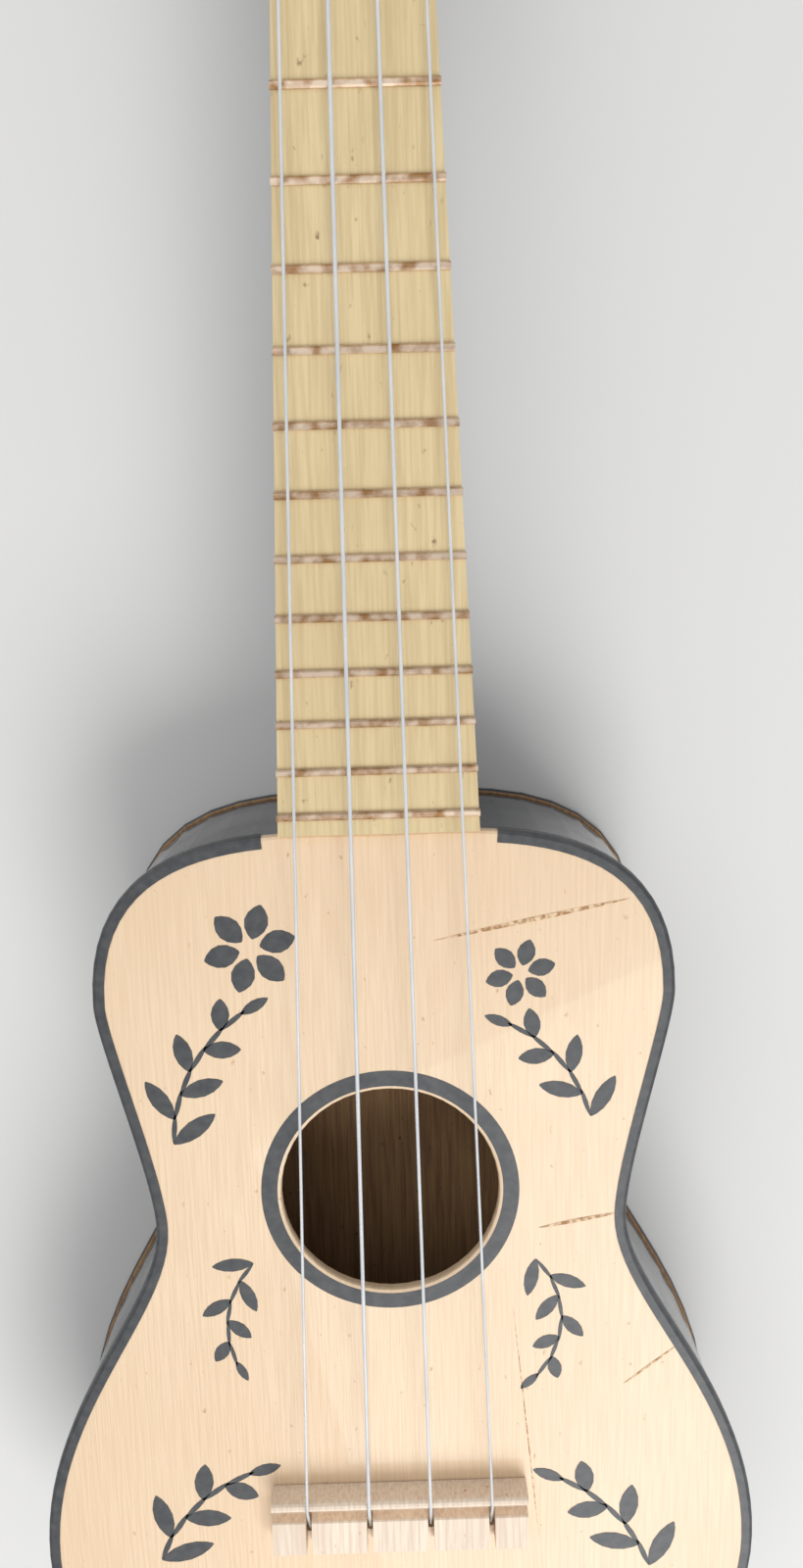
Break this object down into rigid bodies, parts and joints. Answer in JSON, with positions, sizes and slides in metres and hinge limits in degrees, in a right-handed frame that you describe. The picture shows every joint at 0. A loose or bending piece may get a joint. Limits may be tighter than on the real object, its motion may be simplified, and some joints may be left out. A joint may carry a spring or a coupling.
{
  "type": "soprano ukulele",
  "caption": "Soprano ukulele with blond flat top, black gloss sides and back, brass bar frets, slotted bridge and turning friction tuners.",
  "frame": {"origin": "middle of the back's flat outer face, on which the instrument lies", "axes": "+Z is the soundboard's normal, +Y runs towards the headstock, +X is the treble side"},
  "size_m": [0.1756, 0.5223, 0.0581],
  "materials": {
    "top_wood": "satin varnish",
    "board_wood": "worn satin",
    "inner_wood": "bare",
    "black_gloss": "black gloss paint",
    "brass": "tarnished",
    "nickel": "nickel plate",
    "ivory": "satin",
    "button": "gloss",
    "nylon": "clear white"
  },
  "bodies": {
    "root": {"soundboard": "top_wood", "bridge": "top_wood", "fretboard": "board_wood", "nut": "ivory", "back_plate": "black_gloss", "neck": "black_gloss", "rib_bass": "black_gloss", "rib_treble": "black_gloss", "neck_block": "inner_wood", "tail_block": "inner_wood", "neck_dowel": "inner_wood", "bridge_patch": "inner_wood", "top_lining_bass": "inner_wood", "top_lining_treble": "inner_wood", "back_lining_bass": "inner_wood", "back_lining_treble": "inner_wood", "top_brace_upper": "inner_wood", "top_brace_lower": "inner_wood", "back_brace_upper": "inner_wood", "back_brace_lower": "inner_wood", "fret_01": "brass", "fret_02": "brass", "fret_03": "brass", "fret_04": "brass", "fret_05": "brass", "fret_06": "brass", "fret_07": "brass", "fret_08": "brass", "fret_09": "brass", "fret_10": "brass", "fret_11": "brass", "fret_12": "brass", "string_g": "nylon", "string_c": "nylon", "string_e": "nylon", "string_a": "nylon", "tuner_g_collar": "nickel", "tuner_g_washer": "nickel", "tuner_c_collar": "nickel", "tuner_c_washer": "nickel", "tuner_e_collar": "nickel", "tuner_e_washer": "nickel", "tuner_a_collar": "nickel", "tuner_a_washer": "nickel"},
    "peg_g": {"tuner_g_post": "nickel", "tuner_g_button": "button", "tuner_g_screw": "nickel", "string_g_winding": "nylon"},
    "peg_c": {"tuner_c_post": "nickel", "tuner_c_button": "button", "tuner_c_screw": "nickel", "string_c_winding": "nylon"},
    "peg_e": {"tuner_e_post": "nickel", "tuner_e_button": "button", "tuner_e_screw": "nickel", "string_e_winding": "nylon"},
    "peg_a": {"tuner_a_post": "nickel", "tuner_a_button": "button", "tuner_a_screw": "nickel", "string_a_winding": "nylon"}
  },
  "joints": [
    {"name": "peg_g_turn", "type": "hinge", "parent": "root", "child": "peg_g", "pos_m": [-0.015, 0.32831, 0.04482], "axis": [0, 0.1392, 0.9903], "continuous": true},
    {"name": "peg_c_turn", "type": "hinge", "parent": "root", "child": "peg_c", "pos_m": [-0.016, 0.36693, 0.0394], "axis": [0, 0.1392, 0.9903], "continuous": true},
    {"name": "peg_e_turn", "type": "hinge", "parent": "root", "child": "peg_e", "pos_m": [0.016, 0.36693, 0.0394], "axis": [0, 0.1392, 0.9903], "continuous": true},
    {"name": "peg_a_turn", "type": "hinge", "parent": "root", "child": "peg_a", "pos_m": [0.015, 0.32831, 0.04482], "axis": [0, 0.1392, 0.9903], "continuous": true}
  ]
}
